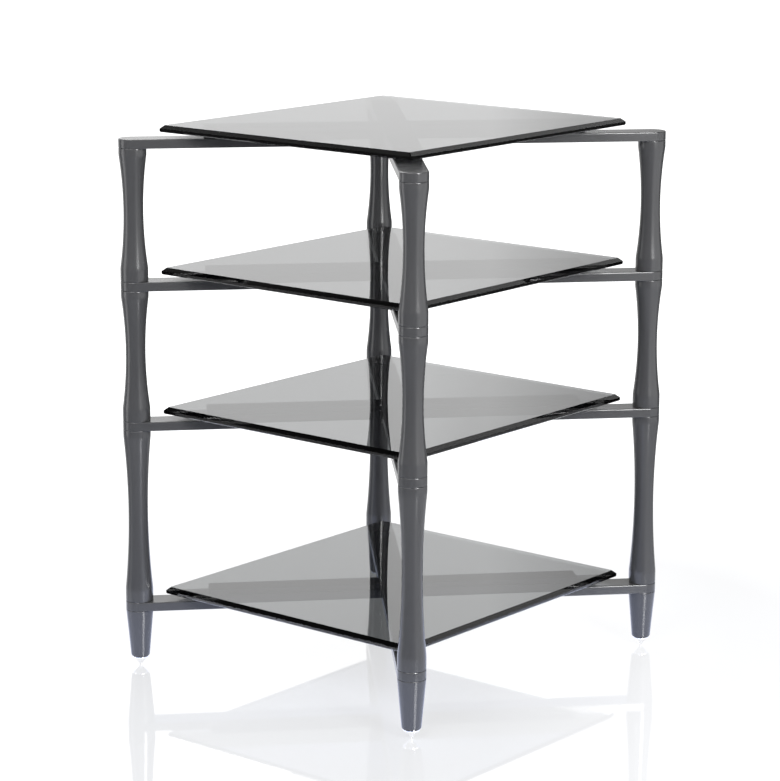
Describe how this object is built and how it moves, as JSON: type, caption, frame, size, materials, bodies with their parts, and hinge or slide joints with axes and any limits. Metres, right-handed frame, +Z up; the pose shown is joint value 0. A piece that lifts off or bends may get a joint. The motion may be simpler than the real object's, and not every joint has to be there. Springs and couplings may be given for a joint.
{
  "type": "audio equipment rack",
  "caption": "Audio equipment rack of stacked tiers: bevelled smoked glass shelves rest on crossed bars clamped between waisted columns, on tapered feet with levelling spikes.",
  "frame": {"origin": "on the floor, midway between the four spikes", "axes": "+Z up, front faces -Y, +X to the right of somebody who faces the front"},
  "size_m": [0.71, 0.664, 0.958],
  "materials": {
    "anthracite_frame": "satin anthracite coat on turned columns, feet and flat bars",
    "smoked_glass": "polished smoked float glass with a bevelled top edge",
    "rest_strips": "matt black rest strip",
    "polished_spikes": "polished bright metal",
    "zinc_studs": "zinc-plated threaded stud, hidden inside the legs"
  },
  "bodies": {
    "frame": {"foot_front_left": "anthracite_frame", "column_front_left_1": "anthracite_frame", "column_front_left_2": "anthracite_frame", "column_front_left_3": "anthracite_frame", "stud_front_left_1": "zinc_studs", "stud_front_left_2": "zinc_studs", "stud_front_left_3": "zinc_studs", "stud_front_left_4": "zinc_studs", "foot_front_right": "anthracite_frame", "column_front_right_1": "anthracite_frame", "column_front_right_2": "anthracite_frame", "column_front_right_3": "anthracite_frame", "stud_front_right_1": "zinc_studs", "stud_front_right_2": "zinc_studs", "stud_front_right_3": "zinc_studs", "stud_front_right_4": "zinc_studs", "foot_back_left": "anthracite_frame", "column_back_left_1": "anthracite_frame", "column_back_left_2": "anthracite_frame", "column_back_left_3": "anthracite_frame", "stud_back_left_1": "zinc_studs", "stud_back_left_2": "zinc_studs", "stud_back_left_3": "zinc_studs", "stud_back_left_4": "zinc_studs", "foot_back_right": "anthracite_frame", "column_back_right_1": "anthracite_frame", "column_back_right_2": "anthracite_frame", "column_back_right_3": "anthracite_frame", "stud_back_right_1": "zinc_studs", "stud_back_right_2": "zinc_studs", "stud_back_right_3": "zinc_studs", "stud_back_right_4": "zinc_studs", "crossbar_lower_1": "anthracite_frame", "rest_strip_lower_1": "rest_strips", "crossbar_upper_1": "anthracite_frame", "rest_strip_upper_1": "rest_strips", "crossbar_lower_2": "anthracite_frame", "rest_strip_lower_2": "rest_strips", "crossbar_upper_2": "anthracite_frame", "rest_strip_upper_2": "rest_strips", "crossbar_lower_3": "anthracite_frame", "rest_strip_lower_3": "rest_strips", "crossbar_upper_3": "anthracite_frame", "rest_strip_upper_3": "rest_strips", "crossbar_lower_4": "anthracite_frame", "rest_strip_lower_4": "rest_strips", "crossbar_upper_4": "anthracite_frame", "rest_strip_upper_4": "rest_strips"},
    "shelf_1": {"glass_shelf_1": "smoked_glass"},
    "shelf_2": {"glass_shelf_2": "smoked_glass"},
    "shelf_3": {"glass_shelf_3": "smoked_glass"},
    "shelf_4": {"glass_shelf_4": "smoked_glass"},
    "leveller_front_left": {"spike_front_left": "polished_spikes"},
    "leveller_front_right": {"spike_front_right": "polished_spikes"},
    "leveller_back_left": {"spike_back_left": "polished_spikes"},
    "leveller_back_right": {"spike_back_right": "polished_spikes"}
  },
  "joints": [
    {"name": "shelf_1_lift", "type": "slide", "parent": "frame", "child": "shelf_1", "axis": [0, 0, 1], "range_m": [0, 0.2]},
    {"name": "shelf_2_lift", "type": "slide", "parent": "frame", "child": "shelf_2", "axis": [0, 0, 1], "range_m": [0, 0.2]},
    {"name": "shelf_3_lift", "type": "slide", "parent": "frame", "child": "shelf_3", "axis": [0, 0, 1], "range_m": [0, 0.2]},
    {"name": "shelf_4_lift", "type": "slide", "parent": "frame", "child": "shelf_4", "axis": [0, 0, 1], "range_m": [0, 0.28]},
    {"name": "leveller_front_left_screw", "type": "slide", "parent": "frame", "child": "leveller_front_left", "axis": [0, 0, 1], "range_m": [-0.01, 0]},
    {"name": "leveller_front_right_screw", "type": "slide", "parent": "frame", "child": "leveller_front_right", "axis": [0, 0, 1], "range_m": [-0.01, 0]},
    {"name": "leveller_back_left_screw", "type": "slide", "parent": "frame", "child": "leveller_back_left", "axis": [0, 0, 1], "range_m": [-0.01, 0]},
    {"name": "leveller_back_right_screw", "type": "slide", "parent": "frame", "child": "leveller_back_right", "axis": [0, 0, 1], "range_m": [-0.01, 0]}
  ]
}
